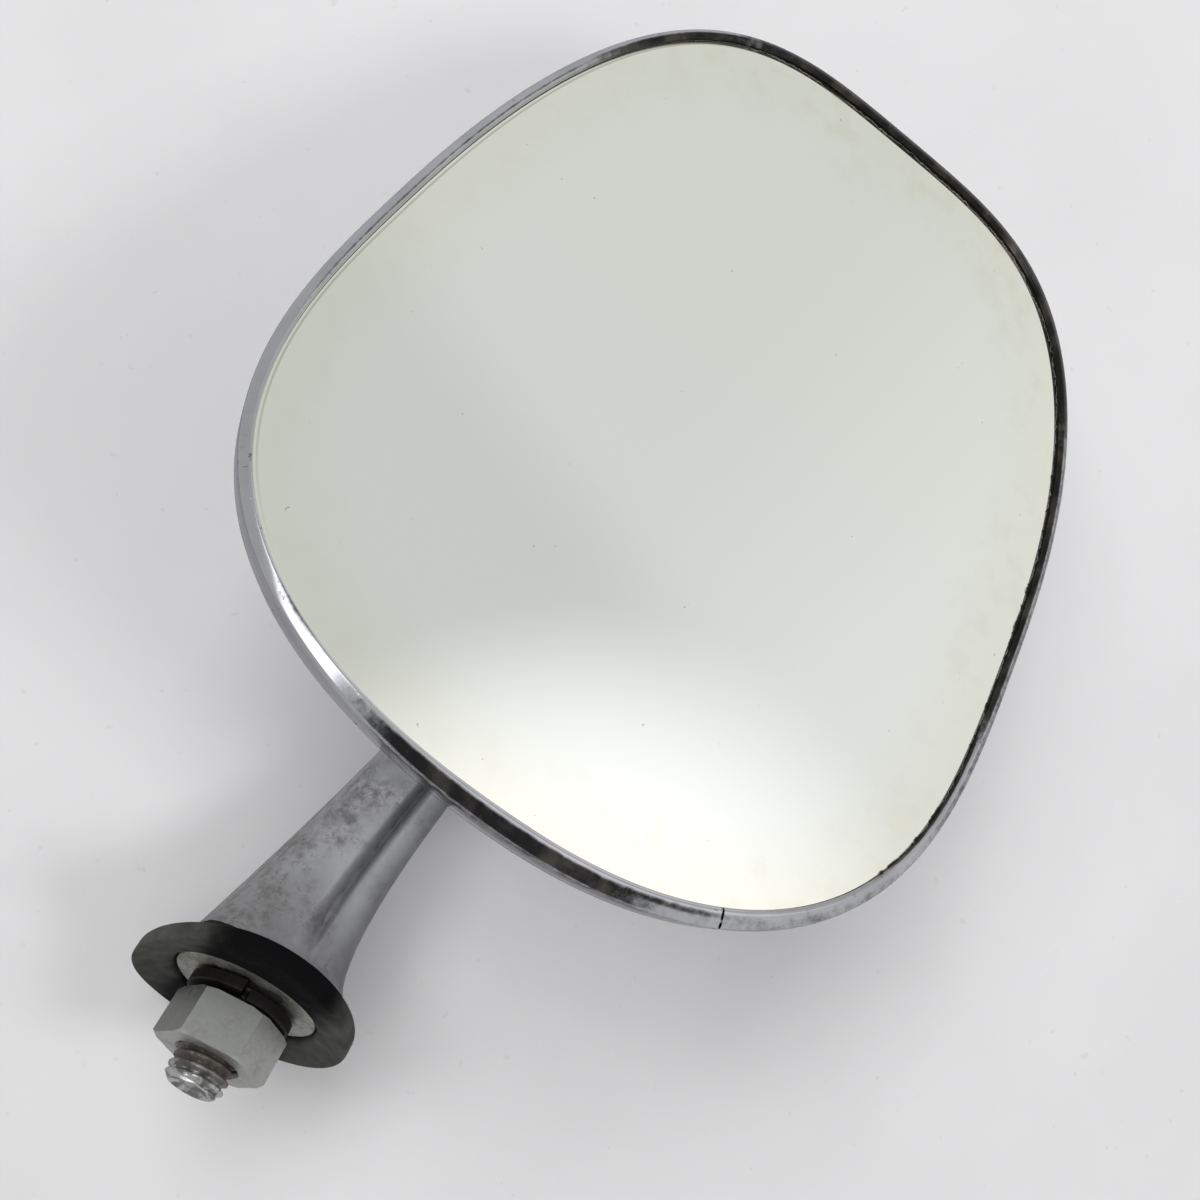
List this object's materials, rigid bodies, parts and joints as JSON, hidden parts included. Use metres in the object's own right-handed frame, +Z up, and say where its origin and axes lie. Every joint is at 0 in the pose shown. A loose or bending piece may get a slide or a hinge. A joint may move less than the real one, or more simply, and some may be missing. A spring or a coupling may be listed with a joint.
{
  "type": "exterior door mirror",
  "caption": "Exterior door mirror: chrome-rimmed glass on a ball joint, with a cast arm, rubber base gasket, washers, nut and stud.",
  "frame": {"origin": "centre of the seat on the panel, on the stud's axis, at the gasket's underside", "axes": "+Z up the stud towards the arm, glass faces -Y, +X to the right seen from the front"},
  "size_m": [0.1209, 0.1308, 0.1629],
  "materials": {
    "plated_arm": "cast, plated and pitted",
    "chrome_shell": "plated",
    "chrome_rim": "plated, rust specks",
    "silvered_glass": "aged silvering",
    "gasket_rubber": "matt, dusty",
    "seal_rubber": "matt",
    "felt": "felt",
    "nylon": "moulded",
    "cap_brass": "worn",
    "bare_steel": "machined",
    "spring_steel": "drawn",
    "zinc_steel": "zinc plated",
    "black_steel": "black oxide",
    "rusty_steel": "rusted thread"
  },
  "bodies": {
    "arm": {"arm": "plated_arm", "ball_stud": "bare_steel", "set_screw": "black_steel", "mounting_stud": "rusty_steel", "base_gasket": "gasket_rubber", "plain_washer": "zinc_steel"},
    "seat_liner": {"ball_seat": "nylon"},
    "pressure_cap": {"friction_cap": "cap_brass"},
    "head": {"head_shell": "chrome_shell", "rim_bezel": "chrome_rim", "mirror_glass": "silvered_glass", "glass_seal": "seal_rubber", "backing_pad": "felt", "socket_ring": "bare_steel", "spring_seat": "bare_steel", "friction_spring": "spring_steel", "spring_bridge": "bare_steel", "bridge_screw_left": "bare_steel", "bridge_screw_right": "bare_steel"},
    "washer": {"lock_washer": "black_steel"},
    "nut": {"hex_nut": "zinc_steel"}
  },
  "joints": [
    {"name": "head_roll", "type": "hinge", "parent": "arm", "child": "seat_liner", "pos_m": [0.0081, -0.0615, 0.08], "axis": [0, -0.9516, -0.3074], "range_deg": [-20, 20]},
    {"name": "head_tilt", "type": "hinge", "parent": "seat_liner", "child": "pressure_cap", "pos_m": [0.0081, -0.0615, 0.08], "axis": [1, 0, 0], "range_deg": [-16, 16]},
    {"name": "head_pan", "type": "hinge", "parent": "pressure_cap", "child": "head", "pos_m": [0.0081, -0.0615, 0.08], "axis": [0, -0.3074, 0.9516], "range_deg": [-16, 16]},
    {"name": "nut_travel", "type": "slide", "parent": "arm", "child": "washer", "axis": [0, 0, -1], "range_m": [0, 0.0049]},
    {"name": "nut_spin", "type": "hinge", "parent": "washer", "child": "nut", "pos_m": [0, 0, -0.0068], "axis": [0, 0, -1], "range_deg": [0, 1152]}
  ],
  "couplings": [
    {"joint": "nut_travel", "follows": "nut_spin", "m_per_rad": 0.00023873}
  ]
}
